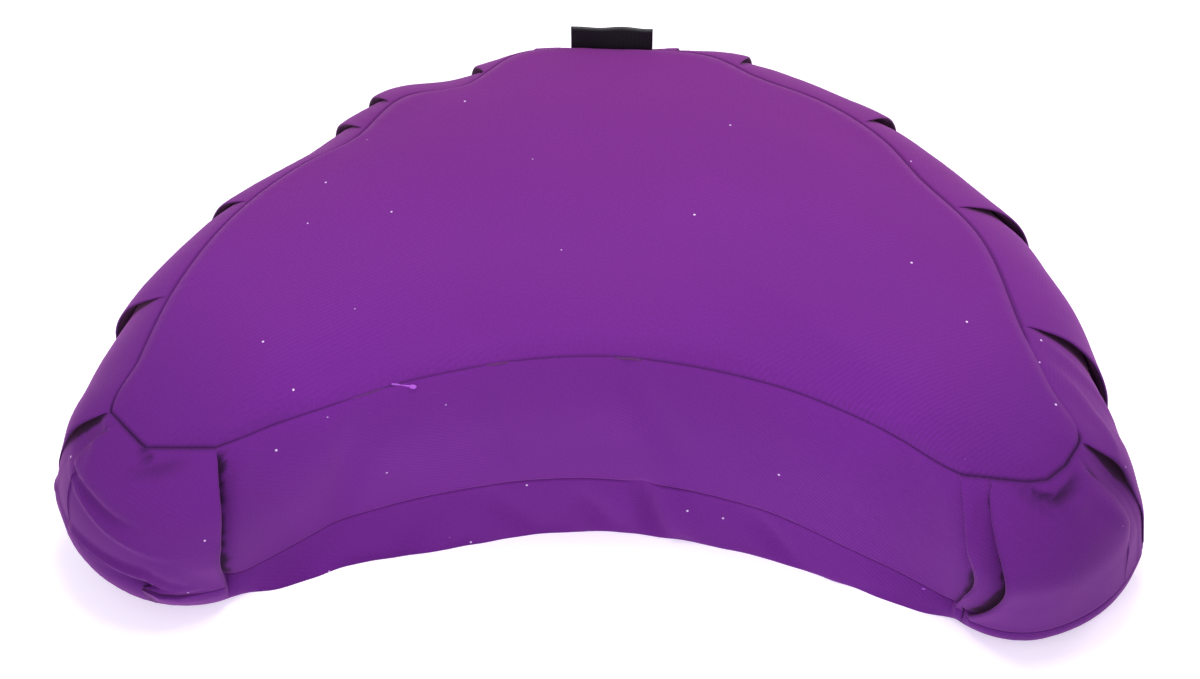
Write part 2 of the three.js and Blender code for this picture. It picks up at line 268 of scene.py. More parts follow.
# points of the rim, its outward direction and how sharply it curves
def rimFrame(at):
    at = (np.asarray(at, float) + halfRim) % (2 * halfRim) - halfRim
    side, run = np.where(at < 0, -1.0, 1.0), np.abs(at)
    onBack, onTip = run < backLength, run < backLength + tipLength
    angle = np.where(
        onBack,
        math.pi / 2 - run / cover["backRadius"],
        np.where(
            onTip,
            tipStart - (run - backLength) / cover["tipRadius"],
            tipEnd + math.pi + (run - backLength - tipLength) / cover["hollowRadius"],
        ),
    )
    notBack = np.where(onTip, cover["tipRadius"], cover["hollowRadius"])
    radius = np.where(onBack, cover["backRadius"], notBack)
    centreX = np.where(onTip & ~onBack, tipX, 0.0)
    centreY = np.where(onBack, cover["backCentreY"], np.where(onTip, tipY, hollowCentreY))
    outward = np.where(onTip, 1.0, -1.0)
    x, y = side * (centreX + radius * np.cos(angle)), centreY + radius * np.sin(angle)
    return x, y, side * outward * np.cos(angle), outward * np.sin(angle), outward / radius


def sectionValue(at, name):
    column, stops, span = sections[:, sectionColumns[name]], sections[:, 0], 2 * halfRim
    place = (np.asarray(at, float) - stops[0]) % span + stops[0]
    i = np.searchsorted(stops, place, side="right") - 1
    count = len(stops)
    places = [stops[(i + k) % count] + span * ((i + k) // count) for k in (-1, 0, 1, 2)]
    values = [column[(i + k) % count] for k in (-1, 0, 1, 2)]
    width = places[2] - places[1]
    share = (place - places[1]) / width
    slopeFrom = (values[2] - values[0]) / (places[2] - places[0]) * width
    slopeTo = (values[3] - values[1]) / (places[3] - places[1]) * width
    s2, s3 = share**2, share**3
    return (
        (2 * s3 - 3 * s2 + 1) * values[1]
        + (s3 - 2 * s2 + share) * slopeFrom
        + (3 * s2 - 2 * s3) * values[2]
        + (s3 - s2) * slopeTo
    )


# beside a sharp corner the rim's own millimetres are shorter than the cloth's
def clothStretch(at):
    return 1 + cover["bandReach"] * rimFrame(at)[4]


# how far a pleat's line has moved along the rim at a height on the band, 0 top to 1 bottom
def foldLine(fold, down):
    bowed = fold.get("bow", 0) * 4 * down * (1 - down)
    return math.copysign(1, fold["at"]) * (fold["slant"] * down + bowed)


def foldRise(fold, down):
    rising = np.sqrt(smooth(down, 0, fold["crest"]))
    falling = smooth(down, fold["crest"], fold.get("fade", 1))
    return fold["lift"] * rising * mix(1, fold.get("tail", cover["foldTail"]), falling)


def foldWay(fold):
    return math.copysign(1, fold["at"]) * fold["faces"]


# distances along the rim, the short way round
def rimGap(a, b):
    return (np.asarray(a, float) - b + halfRim) % (2 * halfRim) - halfRim


# a pleat's swell behind its edge, from 1 at the edge to 0 at its full width
def swellShape(share):
    return (1 - share**1.5) ** 1.5


# the relief that a pleat gives the cloth beside it: a swell behind its edge, a dip before it
def foldField(fold, at, down):
    ahead = rimGap(at, fold["at"] + foldLine(fold, down)) * foldWay(fold)
    rise = foldRise(fold, down)
    behind = np.clip(-ahead / fold["width"], 0, 1)
    before = np.clip(ahead / cover["foldUnderWidth"], 0, 1)
    swell = rise * swellShape(behind)
    dip = -rise * fold.get("under", cover["foldUnder"]) * (1 - before) ** 2
    return np.where(ahead <= 0, swell, dip)


# where a pleat's line runs along the rim, row by row
def foldPlace(i, downs):
    fold = folds[i % len(folds)]
    return fold["at"] + foldLine(fold, downs)


# a pleat's columns: how far they reach behind and ahead of its edge in mm, and the share of the
# room between two pleats that they take; where they start beyond the edge, and how far apart
# they are in the seam; how deep it tucks and how dark its painted shade is; how much noise moves
# its rise, its depth and its painted shadow; and the places of the columns on each stretch, as
# shares or in radians
pleat = dict(
    behind=15, ahead=12, room=0.42, closes=0.94, startBehind=0.6, startAhead=0.4, seamRun=1.4,
    seamLeast=0.3, squeeze=1.3, deepLeast=0.3, deepMost=0.9, rollLeast=0.04, opens=0.06,
    gape=1.2, shadow=0.9,
    wobble=0.15, wobbleSize=5, tuckWobble=0.3, scallops=0.9, scallopSize=13,
    swellAt=(1, 0.8, 0.62, 0.46, 0.33, 0.22, 0.13, 0.05),
    edgeTurns=(1.2, 0.75, 0.3, -0.15, -0.6, -1.05, -1.5), edgeShade=0.2,
    backAt=(0.12, 0.3, 0.55, 0.8), backTurns=(1.0, 0, -1.0), innerAt=(0.06, 0.3, 0.6, 0.9),
    dipAt=(0, 0.06, 0.14, 0.25, 0.4, 0.6, 0.8, 1),
)


# soft noise down a pleat, its own for each
def pleatNoise(fold, downs, size, seed):
    return np.array([noise.noise(Vector((fold["at"] * 0.37, d * size, seed))) for d in downs])


# the cloth across one pleat, row by row: up to the edge, round it, back under, and out again
def foldColumns(i, downs):
    fold = folds[i]
    way = foldWay(fold)
    line = foldPlace(i, downs)
    gapBefore = (line - foldPlace(i - 1, downs)) % (2 * halfRim)
    gapAfter = (foldPlace(i + 1, downs) - line) % (2 * halfRim)
    roomBehind, roomAhead = (gapBefore, gapAfter) if way > 0 else (gapAfter, gapBefore)
    behind = np.minimum(pleat["behind"], roomBehind * pleat["room"])
    ahead = np.minimum(pleat["ahead"], roomAhead * pleat["room"])
    opened = smooth(downs, 0, fold.get("opens", pleat["opens"]))
    opened = opened * (1 - smooth(downs, pleat["closes"], 1))
    wobble = pleatNoise(fold, downs, pleat["wobbleSize"], 3.1)
    rise = foldRise(fold, downs) * (1 + pleat["wobble"] * wobble * opened)
    inner = -rise * fold.get("under", cover["foldUnder"])
    roll = np.minimum(cover["roll"], rise / 3) + pleat["rollLeast"]
    backRoll = np.minimum(cover["backRoll"], rise / 8) + pleat["rollLeast"] / 2
    stretch = float(clothStretch(fold["at"] - way * 3))
    standing = smooth(rise, 0, fold["lift"] * 0.4)
    deep = fold["tuck"] * (1 + pleat["tuckWobble"] * wobble) * opened * standing
    deep = deep + pleat["deepLeast"]
    deep = np.minimum(deep, (behind - pleat["startBehind"]) * stretch * pleat["deepMost"])
    # the shadowed cloth just before the edge, in scallops where it puckers. Its shade is kept
    # negative until the columns are made, which tells it from the cloth that doubles back.
    scallops = pleatNoise(fold, downs, pleat["scallopSize"], 8.2)
    gape = fold.get("gape", pleat["gape"]) * (1 + pleat["scallops"] * scallops)
    seamRun, least = pleat["seamRun"], pleat["seamLeast"]
    steps = []
    for share in pleat["swellAt"]:
        x = -pleat["startBehind"] - (behind - pleat["startBehind"]) * share
        seamX = -seamRun - max(behind[0] - seamRun, least) * share
        steps.append((seamX, x, rise * swellShape(np.clip(-x / fold["width"], 0, 1)), 0 * x))
    edge = rise * swellShape(roll / fold["width"])
    # painted shade: the outer half of the edge's turn takes a little, and its inner half and the
    # cloth that doubles back under take it all
    for angle in pleat["edgeTurns"]:
        turned = edge - roll * (1 - math.sin(angle))
        shade = pleat["edgeShade"] if angle > 0 else 1
        steps.append((0, roll * (math.cos(angle) - 1), turned, shade))
    under = edge - 2 * roll
    for share in pleat["backAt"]:
        steps.append((0, mix(-roll, -deep, share), mix(under, inner + 2 * backRoll, share), 1))
    for angle in pleat["backTurns"]:
        turned = inner + backRoll * (1 + math.sin(angle))
        steps.append((0, -deep - backRoll * math.cos(angle), turned, 1))
    for share in pleat["innerAt"]:
        steps.append((0, mix(-deep, 0, share), inner, 1))
    for share in pleat["dipAt"]:
        x = pleat["startAhead"] + (ahead - pleat["startAhead"]) * share
        seamX = seamRun + max(ahead[0] - seamRun, least) * share
        dip = inner * (1 - np.clip(x / cover["foldUnderWidth"], 0, 1)) ** 2
        steps.append((seamX, x, dip, -pleat["shadow"] * smooth(gape - x * stretch, -0.5, 0.9)))
    tightCount = sum(np.max(step[3]) > 0 for step in steps)
    squeezed = iter(np.linspace(-pleat["squeeze"], pleat["squeeze"], tightCount))
    columns = []
    for seamX, x, relief, tucked in steps:
        tight = np.max(tucked) > 0
        seamX = next(squeezed) if tight else seamX
        place = x / stretch if tight else x
        # the painted shade of each column, only where the pleat stands up and is open
        shade = np.abs(tucked) * smooth(rise, 0.3, 3) * opened
        columns.append(dict(
            seamAt=fold["at"] + way * seamX, at=line + way * mix(seamX, place, opened),
            relief=relief, shade=shade, own=i,
        ))
    return columns if way > 0 else columns[::-1]


# every column of the cover: those of the pleats, and evenly spread ones between them
def makeColumns(downs):
    pleated = [foldColumns(i, downs) for i in range(len(folds))]
    columns = []
    for i, made in enumerate(pleated):
        columns += made
        last, after = made[-1], pleated[(i + 1) % len(pleated)][0]
        wrap = 2 * halfRim if i + 1 == len(pleated) else 0
        middle = len(downs) // 2
        run = np.linspace(last["at"][middle], after["at"][middle] + wrap, 60)
        cloth = clothStretch((run[1:] + run[:-1]) / 2)
        length = np.concatenate([[0], np.cumsum(cloth * (run[1] - run[0]))])
        count = max(2, round(length[-1] / cover["filler"]))
        even = np.arange(1, count) / count * length[-1]
        for share in np.interp(even, length, np.linspace(0, 1, len(run))):
            columns.append(dict(
                seamAt=mix(last["seamAt"], after["seamAt"] + wrap, share),
                at=mix(last["at"], after["at"] + wrap, share),
                relief=0 * downs, shade=0 * downs, own=-1,
            ))
    return columns


# soft noise along the rim, the same on both sides of where the rim closes
def rimNoise(at, size, seed, down=0.0):
    turn = np.asarray(at) / halfRim * math.pi
    reach = halfRim / math.pi / size
    x, y, z = np.broadcast_arrays(np.cos(turn) * reach, np.sin(turn) * reach, seed + down)
    heights = [noise.noise(Vector(place)) for place in zip(x.ravel(), y.ravel(), z.ravel())]
    return np.array(heights).reshape(x.shape)


# the height of the creases and their painted shade at places on the band, from how far off they lie
def creaseRelief(at, down):
    height, dark = np.zeros_like(at), np.zeros_like(at)
    for crease in creases:
        nearest = np.full_like(at, 1e9)
        ending = np.ones_like(at)
        line = crease["line"]
        for k, ((a0, d0), (a1, d1)) in enumerate(zip(line[:-1], line[1:])):
            scale = float(clothStretch((a0 + a1) / 2))
            px, py = rimGap(at, a0) * scale, (down - d0) * cover["bandTall"]
            lx, ly = (a1 - a0) * scale, (d1 - d0) * cover["bandTall"]
            along = (px * lx + py * ly) / (lx * lx + ly * ly)
            share = np.clip(along, 0, 1)
            off = np.hypot(px - share * lx, py - share * ly)
            whole = (k + share) / (len(line) - 1)
            closer = off < nearest
            nearest = np.where(closer, off, nearest)
            ending = np.where(closer, np.sin(math.pi * np.clip(whole, 0.04, 0.96)) ** 0.6, ending)
        height += crease["high"] * ending * np.exp(-((nearest / crease["wide"]) ** 2))
        core = ending * np.exp(-((1.3 * nearest / crease["wide"]) ** 2))
        dark = np.maximum(dark, crease.get("dark", 0) * core)
    return height, dark


# how far the corners move the top seam away from the rim's arcs
def cornerMoves(seamAt, x, y, z):
    moves = np.zeros((3, len(seamAt)))
    at = rimGap(seamAt, 0)
    for run in corners:
        stops = [c["at"] for c in run]
        inner = stops[1:-1]
        arc = [np.interp(inner, at[np.argsort(at)], v[np.argsort(at)]) for v in (x, y, z)]
        for k, name in enumerate("xyz"):
            held = [c[name] for c in run[1:-1]]
            straight = np.interp(at, inner, held) - (x, y, z)[k]
            ends = np.interp(at, stops[:2], [0, held[0] - arc[k][0]])
            lastEnd = np.interp(at, stops[-2:], [held[-1] - arc[k][-1], 0])
            ends = np.where(at > stops[-2], lastEnd, ends)
            within = (at >= inner[0]) & (at <= inner[-1])
            beyond = np.where((at > stops[0]) & (at < stops[-1]), ends, 0)
            moves[k] += np.where(within, straight, beyond)
    return moves


# a value of the rim, averaged over the cloth near each column
def softened(seamAt, value, reach):
    apart = rimGap(seamAt[:, None], seamAt[None, :])
    spacing = (np.roll(seamAt, -1) - np.roll(seamAt, 1)) % (2 * halfRim) / 2
    weight = np.exp(-((apart / reach) ** 2)) * spacing
    return weight @ value / weight.sum(1)


# how plainly the top seam shows along the rim, as its groove's depth and as painted shade in the
# groove: most at the corners, and the cloth lies over it for a stretch by the right end. beside and
# below are its painted shade on the rows next to it.
seamLook = dict(
    plain=0.5, corners=0.5, cornersFrom=(300, 312), cornersTo=(352, 364),
    frontRight=0.3, frontLeft=0.2, hidden=0.9, hiddenFrom=(255, 264), hiddenTo=(303, 308),
    beside=0.2, below=0.7,
)


def seamShare(seamAt):
    at = rimGap(seamAt, 0)
    fromBack = np.abs(at)
    front = smooth(fromBack, *seamLook["cornersTo"])
    ends = smooth(fromBack, *seamLook["cornersFrom"]) * (1 - front)
    side = np.where(at > 0, seamLook["frontRight"], seamLook["frontLeft"])
    plain = seamLook["plain"] + seamLook["corners"] * ends + front * side
    covered = smooth(at, *seamLook["hiddenFrom"]) * (1 - smooth(at, *seamLook["hiddenTo"]))
    return plain * (1 - seamLook["hidden"] * covered)


# where the rows of the cover lie: on the panel as shares of the way out and as mm from the
# seam, on the band and on the turn under it as shares of the way down, on the sole as shares
rowsAt = dict(
    inside=[0, 0.05, 0.11, 0.18, 0.26, 0.35, 0.44, 0.53, 0.62, 0.7],
    fromSeam=[0.55, 1.1, 1.9, 3, 4.4, 6.2, 8.4, 11, 14, 18, 23, 29, 36],
    bandTop=[0, 0.0022, 0.008, 0.017, 0.029, 0.043, 0.06, 0.08], bandMiddle=(0.102, 0.9, 36),
    bandLow=[0.92, 0.938, 0.954, 0.968, 0.98, 0.99, 0.997, 1],
    turns=[0.012, 0.035, 0.08, 0.15, 0.24, 0.34, 0.45, 0.57, 0.69, 0.81, 0.92, 1],
    sole=[0.97, 0.85, 0.62, 0.38, 0.16, 0],
)


# the points of the cover, row by row: the top panel, the band, the turn under it, the sole
def coverPoints():
    middle = np.linspace(*rowsAt["bandMiddle"])
    downs = np.concatenate([rowsAt["bandTop"], middle, rowsAt["bandLow"]])
    columns = makeColumns(downs)
    seamAt = np.array([c["seamAt"] for c in columns])
    own = np.array([c["own"] for c in columns])
    seamX, seamY, outX, outY, _ = rimFrame(seamAt)
    seamOut, seamZ = sectionValue(seamAt, "seamOut"), sectionValue(seamAt, "seamZ")
    rimX, rimY = seamX + outX * seamOut, seamY + outY * seamOut
    moveX, moveY, moveZ = cornerMoves(seamAt, rimX, rimY, seamZ)
    rimX, rimY, seamZ = rimX + moveX, rimY + moveY, seamZ + moveZ
    centreX, centreY = cover["centre"]
    reach = np.hypot(rimX - centreX, rimY - centreY)
    pucker = rimNoise(seamAt, cover["puckerSize"], 2.0)
    pucker = pucker + 0.5 * rimNoise(seamAt, cover["puckerSmall"], 5.0)
    softX, softY, softZ = (softened(seamAt, v, cover["cornerFade"]) for v in (rimX, rimY, seamZ))
    inSeam = seamShare(seamAt)
    rows, shades = [], []
    rings = [np.full_like(reach, share) for share in rowsAt["inside"]]
    # short spokes keep their rows in order
    least = rowsAt["inside"][-1]
    for d in rowsAt["fromSeam"][::-1]:
        rings.append(np.maximum(1 - d / reach, least + 0.3 * (37 - d) / 37 * 0.9))
    rings.append(np.ones_like(reach))
    for k, ring in enumerate(rings):
        edge = (1 - ring) * reach
        sharp = np.exp(-edge / cover["cornerReach"])
        x = mix(centreX, mix(softX, rimX, sharp), ring)
        y = mix(centreY, mix(softY, rimY, sharp), ring)
        dome = cover["crownHeight"] - cover["crownSideFall"] * (x / cover["crownHalfX"]) ** 2
        dome = dome - cover["crownFrontFall"] * ((y - centreY) / cover["crownHalfY"]) ** 2
        lift = cover["shoulder"] * np.sqrt(smooth(edge, 0, cover["shoulderRun"])) * ring**4
        nearSeam = np.exp(-edge / cover["puckerLong"]) * smooth(edge, 0, 2)
        lift = lift + cover["puckerHigh"] * cover["panelPucker"] * pucker * nearSeam
        size = cover["panelDentSize"]
        dents = np.array([noise.noise(Vector((a / size, b / size, 7.7))) for a, b in zip(x, y)])
        lift = lift + cover["panelDents"] * dents * smooth(edge, 0, 30)
        z = mix(dome, mix(softZ, seamZ, sharp), ring ** cover["rimGrip"]) + lift
        rows.append((x, y, z - cover["seamDeep"] * inSeam * (k == len(rings) - 1)))
        # painted shade in the top seam's groove, on its row and on the ring beside it
        shades.append(inSeam * {1: 1, 2: seamLook["beside"] * inSeam**2}.get(len(rings) - k, 0))
    for k, down in enumerate(downs):
        at = np.array([c["at"][k] for c in columns])
        x, y, nx, ny, _ = rimFrame(at)
        relief = np.array([c["relief"][k] for c in columns])
        for i, fold in enumerate(folds):
            relief = relief + np.where(own == i, 0, foldField(fold, at, down))
        for trough in troughs:
            line = trough["at"] + math.copysign(1, trough["at"]) * trough["slant"] * down
            across = rimGap(seamAt, line) / trough["width"]
            fall = (down - trough["middle"]) / trough["tall"]
            relief = relief - trough["deep"] * np.exp(-(across**2) - fall**2)
        creased, creasePaintedShade = creaseRelief(seamAt, down)
        relief = relief + creased * smooth(down, 0, 0.02)
        span = cover["bandTall"] * down
        nearSeam = np.exp(-span / cover["puckerLong"]) * smooth(span, 0, 2)
        toLow = cover["bandTall"] - span
        nearLow = np.exp(-toLow / cover["puckerLong"]) * smooth(toLow, 0, 2)
        lowPucker = rimNoise(at, cover["lowPuckerSize"], 9.0) * nearLow * cover["lowPucker"]
        relief = relief + cover["puckerHigh"] * (pucker * nearSeam + lowPucker)
        dents = rimNoise(at, cover["bandDentSize"], 4.0, down * 2.2)
        relief = relief + cover["bandDents"] * dents * math.sin(math.pi * down)
        out = mix(seamOut, sectionValue(at, "lowOut"), down)
        bulge = sectionValue(at, "bulge") * np.sin(np.pi * down ** cover["bandFullness"])
        out = out + bulge + relief
        z = mix(seamZ, sectionValue(at, "lowZ"), down)
        low = dict(at=at, x=x, y=y, nx=nx, ny=ny, out=out, z=z, relief=relief)
        if k:
            out = out - cover["lowSeamDeep"] * (k == len(downs) - 1)
            held = 1 - smooth(down, 0, cover["cornerHold"])
            rows.append((x + nx * out + moveX * held, y + ny * out + moveY * held, z))
            # painted shade below the top seam, joined with that of the pleats and creases
            beside = inSeam * {1: seamLook["below"], 2: seamLook["beside"] * inSeam**2}.get(k, 0)
            tuckedIn = np.array([c["shade"][k] for c in columns])
            shades.append(np.maximum.reduce([tuckedIn, creasePaintedShade, beside]))
    # painted shade along the lower seam's groove
    shades[-1] = np.maximum(shades[-1], cover["lowSeamPaintedShade"])
    foot = sectionValue(low["at"], "footOut")
    for turn in rowsAt["turns"]:
        angle = turn * math.pi / 2
        lumps = cover["underLumps"] * rimNoise(low["at"], cover["underLumpSize"], 12.0, turn * 1.3)
        lumps = lumps * math.sin(math.pi * turn * 0.85)
        creased, creasePaintedShade = creaseRelief(seamAt, 1 + turn)
        lumps = lumps + creased
        nearLow = math.exp(-turn * 4) * smooth(turn, 0, 0.08)
        lowPucker = cover["puckerHigh"] * rimNoise(low["at"], cover["lowPuckerSize"], 9.0)
        lumps = lumps + lowPucker * nearLow
        out = mix(low["out"], foot, 1 - math.cos(angle))
        out = out + cover["underRoll"] * math.sin(math.pi * turn) + lumps
        out = out - low["relief"] * smooth(turn, 0, 0.5) * math.cos(angle)
        z = low["z"] * (1 - math.sin(angle)) if turn < 1 else 0 * low["z"]
        rows.append((low["x"] + low["nx"] * out, low["y"] + low["ny"] * out, z))
        # painted shade of the creases on the turn under the band
        shades.append(creasePaintedShade)
    soleX, soleY, _ = rows[-1]
    for ring in rowsAt["sole"]:
        rows.append((mix(centreX, soleX, ring), mix(centreY, soleY, ring), 0 * soleX))
        shades.append(0 * seamAt)
    shiftX, shiftY = cover["shift"]
    points = np.array([np.stack([x + shiftX, y + shiftY, z], -1) for x, y, z in rows])
    seamRow = len(rings) - 1
    lowRow = seamRow + len(downs) - 1
    return points, np.array(shades), seamRow, lowRow, lowRow + len(rowsAt["turns"])


def makeCover(material):
    points, shades, seamRow, lowRow, footRow = coverPoints()
    rowCount, columnCount = points.shape[:2]
    print("cover grid", rowCount, "rows", columnCount, "columns")
    # the band's cloth unrolled: along its middle row, and down each column
    middle = points[(seamRow + lowRow) // 2]
    lengths = np.linalg.norm(np.roll(middle, -1, 0) - middle, axis=1)
    along = np.concatenate([[0], np.cumsum(lengths)])
    fall = np.zeros((rowCount, columnCount))
    fall[seamRow + 1 : footRow + 1] = np.cumsum(
        np.linalg.norm(np.diff(points[seamRow : footRow + 1], axis=0), axis=2), axis=0
    )
    bm = bmesh.new()
    bmesh.ops.create_grid(bm, x_segments=columnCount, y_segments=rowCount - 1, size=1)
    clothLayer = bm.loops.layers.uv.new("cloth")
    tuckedLayer = bm.verts.layers.float.new("tucked")
    column = {v: round((v.co.x + 1) / 2 * columnCount) for v in bm.verts}
    row = {v: round((v.co.y + 1) / 2 * (rowCount - 1)) for v in bm.verts}
    for face in bm.faces:
        lowest = min(row[v] for v in face.verts)
        for loop in face.loops:
            r, c = row[loop.vert], column[loop.vert]
            if seamRow <= lowest < footRow:
                loop[clothLayer].uv = (along[c] * mm, -fall[r, c % columnCount] * mm)
            else:
                x, y, _ = points[r, c % columnCount]
                loop[clothLayer].uv = (x * mm, y * mm)
    for vert in bm.verts:
        vert[tuckedLayer] = shades[row[vert], column[vert] % columnCount]
        vert.co = Vector(points[row[vert], column[vert] % columnCount]) * mm
    bmesh.ops.remove_doubles(bm, verts=bm.verts, dist=1e-7)
    bmesh.ops.recalc_face_normals(bm, faces=bm.faces)
    return newPiece("cover", bm, material)


# woven cotton, dyed: matt, with a soft bloom at grazing angles, and fine ribs across the
# cloth that show in some places and not in others
clothLook = dict(
    redder="#70217b", bluer="#691e87", endShadeCentre=(0.2, -0.1, 0.04), endShadeTone=0.76, tucked=0.12,
    rib=0.88, ribSpacing=1.7, ribHigh=0.1, yarnSpacing=0.9, yarnHigh=0.05, roughness=0.85,
    sheen=0.2, sheenTint="#f596ea", lint="#dcc0ea", lintApart=14, lintRadius=0.4,
    ribTurn=62, dyeScale=9, fibreScale=900, patchScale=22,
    ribbedPlaces=[((0.115, -0.1, 0.06), 0.085), ((-0.13, -0.03, 0.11), 0.09)],
)


def cottonTwill():
    material, tree = newMaterial("dyed cotton twill, woven")
    cloth = addNode(tree, "ShaderNodeUVMap", uv_map="cloth").outputs["UV"]
    place = addNode(tree, "ShaderNodeTexCoord").outputs["Object"]
    broad = addNode(tree, "ShaderNodeTexNoise", {
        "Vector": place, "Scale": clothLook["dyeScale"], "Detail": 1
    }).outputs["Fac"]
    fibres = addNode(tree, "ShaderNodeTexNoise", {
        "Vector": cloth, "Scale": clothLook["fibreScale"], "Detail": 2
    }).outputs["Fac"]
    # the cloth's colour runs bluer towards the front and redder towards the back
    parts = addNode(tree, "ShaderNodeSeparateXYZ", {"Vector": place})
    forward = addNode(tree, "ShaderNodeMapRange", {
        "Value": parts.outputs["Y"], "From Min": 0.12, "From Max": -0.1,
        "To Min": -0.15, "To Max": 0.85,
    }).outputs["Result"]
    uneven = addNode(tree, "ShaderNodeMath", {
        0: broad, 1: 0.3, 2: forward
    }, operation="MULTIPLY_ADD").outputs[0]
    dye = addNode(tree, "ShaderNodeValToRGB", {"Fac": uneven})
    stops = dye.color_ramp.elements
    stops[0].position, stops[0].color = 0, linear(clothLook["redder"])
    stops[1].position, stops[1].color = 1, linear(clothLook["bluer"])
    # the real twill is finer than these ribs, and would not show at this distance
    turned = addNode(tree, "ShaderNodeMapping", {
        "Vector": cloth, "Rotation": (0, 0, math.radians(clothLook["ribTurn"]))
    })
    ribs = addNode(tree, "ShaderNodeTexWave", {
        "Vector": turned.outputs["Vector"], "Scale": waveScale(clothLook["ribSpacing"]),
        "Distortion": 1.6, "Detail": 1.0, "Detail Scale": 0.35,
    }, wave_type="BANDS", bands_direction="X").outputs["Fac"]
    patches = addNode(tree, "ShaderNodeTexNoise", {
        "Vector": place, "Scale": clothLook["patchScale"], "Detail": 1
    }).outputs["Fac"]
    shows = addNode(tree, "ShaderNodeMapRange", {
        "Value": patches, "From Min": 0.5, "From Max": 0.7, "To Min": 0.1, "To Max": 0.6
    }).outputs["Result"]
    for centre, radius in clothLook["ribbedPlaces"]:
        apart = addNode(tree, "ShaderNodeVectorMath", {0: place, 1: centre}, operation="DISTANCE")
        near = addNode(tree, "ShaderNodeMapRange", {
            "Value": apart.outputs["Value"], "From Min": radius * 0.4, "From Max": radius,
            "To Min": 1.0, "To Max": 0.0,
        }).outputs["Result"]
        shows = addNode(tree, "ShaderNodeMath", {0: shows, 1: near}, operation="MAXIMUM").outputs[0]
    ribbed = addNode(tree, "ShaderNodeMath", {0: ribs, 1: shows}, operation="MULTIPLY").outputs[0]
    shade = addNode(tree, "ShaderNodeMapRange", {
        "Value": ribbed, "From Min": 0.0, "From Max": 1.0, "To Min": clothLook["rib"], "To Max": 1.0
    }).outputs["Result"]
    fuzz = addNode(tree, "ShaderNodeMapRange", {
        "Value": fibres, "From Min": 0.3, "From Max": 0.7, "To Min": 0.93, "To Max": 1.07
    }).outputs["Result"]
    tone = addNode(tree, "ShaderNodeMath", {0: shade, 1: fuzz}, operation="MULTIPLY").outputs[0]
    # painted shade: cloth deep in a pleat, in a crease and in a seam groove is darkened as far as
    # the cover's per-point shade attribute says
    tucked = addNode(tree, "ShaderNodeAttribute", attribute_name="tucked").outputs["Fac"]
    dark = addNode(tree, "ShaderNodeMapRange", {
        "Value": tucked, "From Min": 0.0, "From Max": 1.0,
        "To Min": 1.0, "To Max": clothLook["tucked"],
    }).outputs["Result"]
    tone = addNode(tree, "ShaderNodeMath", {0: tone, 1: dark}, operation="MULTIPLY").outputs[0]
    # painted shade: both ends are darkened around a point near each tip, where less of the lamps'
    # light reaches
    aside = addNode(tree, "ShaderNodeMath", {0: parts.outputs["X"]}, operation="ABSOLUTE")
    mirrored = addNode(tree, "ShaderNodeCombineXYZ", {
        "X": aside.outputs[0], "Y": parts.outputs["Y"], "Z": parts.outputs["Z"]
    })
    fromEnd = addNode(tree, "ShaderNodeVectorMath", {
        0: mirrored.outputs["Vector"], 1: clothLook["endShadeCentre"]
    }, operation="DISTANCE").outputs["Value"]
    endShade = addNode(tree, "ShaderNodeMapRange", {
        "Value": fromEnd, "From Min": 0.035, "From Max": 0.1,
        "To Min": clothLook["endShadeTone"], "To Max": 1.0,
    }).outputs["Result"]
    tone = addNode(tree, "ShaderNodeMath", {0: tone, 1: endShade}, operation="MULTIPLY").outputs[0]
    dyed = addNode(tree, "ShaderNodeVectorMath", {
        0: dye.outputs["Color"], "Scale": tone
    }, operation="SCALE")
    # small specks of lint, scattered
    spots = addNode(tree, "ShaderNodeTexVoronoi", {
        "Vector": place, "Scale": 1000 / clothLook["lintApart"]
    })
    radius = clothLook["lintRadius"] / clothLook["lintApart"]
    speck = addNode(tree, "ShaderNodeMapRange", {
        "Value": spots.outputs["Distance"], "From Min": radius, "From Max": radius * 1.5,
        "To Min": 1.0, "To Max": 0.0,
    }).outputs["Result"]
    linted = addNode(tree, "ShaderNodeMixRGB", {
        "Fac": speck, "Color1": dyed.outputs["Vector"], "Color2": linear(clothLook["lint"])
    })
    yarns = addNode(tree, "ShaderNodeTexNoise", {
        "Vector": cloth, "Scale": 1 / (clothLook["yarnSpacing"] * mm), "Detail": 2
    }).outputs["Fac"]
    ribBump = addNode(tree, "ShaderNodeBump", {
        "Height": ribbed, "Strength": 1.0, "Distance": clothLook["ribHigh"] * mm
    })
    yarnBump = addNode(tree, "ShaderNodeBump", {
        "Height": yarns, "Strength": 1.0, "Distance": clothLook["yarnHigh"] * mm,
        "Normal": ribBump.outputs["Normal"],
    })
    shader = addNode(tree, "ShaderNodeBsdfPrincipled", {
        "Base Color": linted.outputs["Color"], "Roughness": clothLook["roughness"],
        "Specular IOR Level": 0.18, "Sheen Weight": clothLook["sheen"], "Sheen Roughness": 0.5,
        "Sheen Tint": linear(clothLook["sheenTint"]), "Normal": yarnBump.outputs["Normal"],
    })
    addNode(tree, "ShaderNodeOutputMaterial", {"Surface": shader.outputs["BSDF"]})
    return material


cotton = cottonTwill()
coverPiece = makeCover(cotton)
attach(coverPiece, "root")
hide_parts("cushion")
print("cover made")

# the label: a satin tape folded over once, its two ends sewn into the back seam
label = dict(
    width=37, height=10.5, thick=0.45, lean=3, foot=1.5, foldRadius=0.6, closes=0.35,
    wave=0.35, waveTurn=0.19, waveStart=0.6, bow=0.25, bowTurn=0.33,
    weftApart=0.45, warpApart=0.6, weaveHigh=0.06, dark="#07090a", bright="#1c2220",
)


